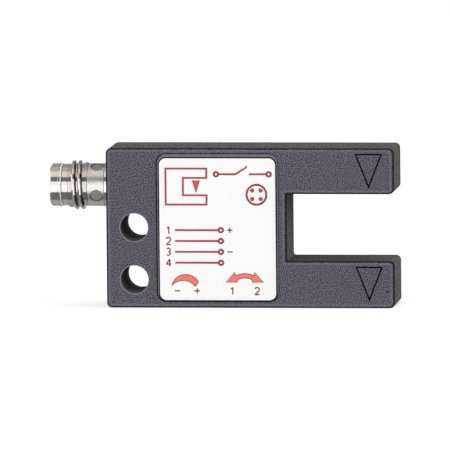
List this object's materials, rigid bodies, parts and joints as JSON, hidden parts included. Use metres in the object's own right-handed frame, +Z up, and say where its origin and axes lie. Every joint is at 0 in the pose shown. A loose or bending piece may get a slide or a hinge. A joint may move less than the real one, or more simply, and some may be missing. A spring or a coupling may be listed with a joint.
{
  "type": "photoelectric fork sensor",
  "caption": "Fork-shaped through-beam light sensor with an open slot, fixing holes, turning adjusters on the underside and a round threaded metal plug.",
  "frame": {"origin": "midway between the two fixing holes, on the back face of the housing", "axes": "+X along the housing towards the open end of the fork, +Y out of the back face (the label faces -Y), +Z up, from the adjusters on the underside to the plain top"},
  "size_m": [0.0558, 0.011, 0.0258],
  "materials": {
    "housing_paint": "black paint with a fine texture, slightly satin",
    "cover_plastic": "flat black moulded plastic",
    "label_film": "white printed film, satin",
    "label_ink": "red printing ink",
    "nickel": "turned and nickel-plated, warm and slightly soft",
    "contact_gold": "gold-plated contacts",
    "insulator": "black moulded insulator",
    "seal_rubber": "black rubber",
    "board_green": "green solder mask on glass-fibre board",
    "chip_black": "black moulded chip bodies",
    "ceramic_tan": "tan ceramic chips",
    "window_red": "dark red clear plastic",
    "emitter_red": "red clear resin",
    "receiver_dark": "dark filter resin",
    "adjuster_blue": "blue moulded plastic",
    "spindle_ivory": "ivory moulded plastic",
    "led_yellow": "yellow resin",
    "light_pipe_clear": "pale clear plastic"
  },
  "bodies": {
    "body": {"housing": "housing_paint", "rear_cover": "cover_plastic", "label": "label_film", "label_print": "label_ink", "plug_shell": "nickel", "contact_carrier": "insulator", "contact_pin_1": "contact_gold", "contact_pin_2": "contact_gold", "contact_pin_3": "contact_gold", "contact_pin_4": "contact_gold", "plug_seal": "seal_rubber", "main_board": "board_green", "signal_chip": "chip_black", "output_transistors": "chip_black", "chip_resistors": "chip_black", "chip_capacitors": "ceramic_tan", "protection_diodes": "chip_black", "emitter_diode": "emitter_red", "receiver_diode": "receiver_dark", "emitter_window": "window_red", "receiver_window": "window_red", "sensitivity_trimmer": "adjuster_blue", "function_switch": "adjuster_blue", "status_led": "led_yellow", "light_pipe": "light_pipe_clear"},
    "sensitivity": {"sensitivity_spindle": "spindle_ivory", "sensitivity_seal": "seal_rubber"},
    "function": {"function_spindle": "spindle_ivory", "function_seal": "seal_rubber"}
  },
  "joints": [
    {"name": "sensitivity_turn", "type": "hinge", "parent": "body", "child": "sensitivity", "pos_m": [0.0084, -0.0055, -0.0085], "axis": [0, 0, 1], "range_deg": [-135, 135]},
    {"name": "function_turn", "type": "hinge", "parent": "body", "child": "function", "pos_m": [0.0178, -0.0055, -0.0085], "axis": [0, 0, 1], "range_deg": [0, 90]}
  ]
}
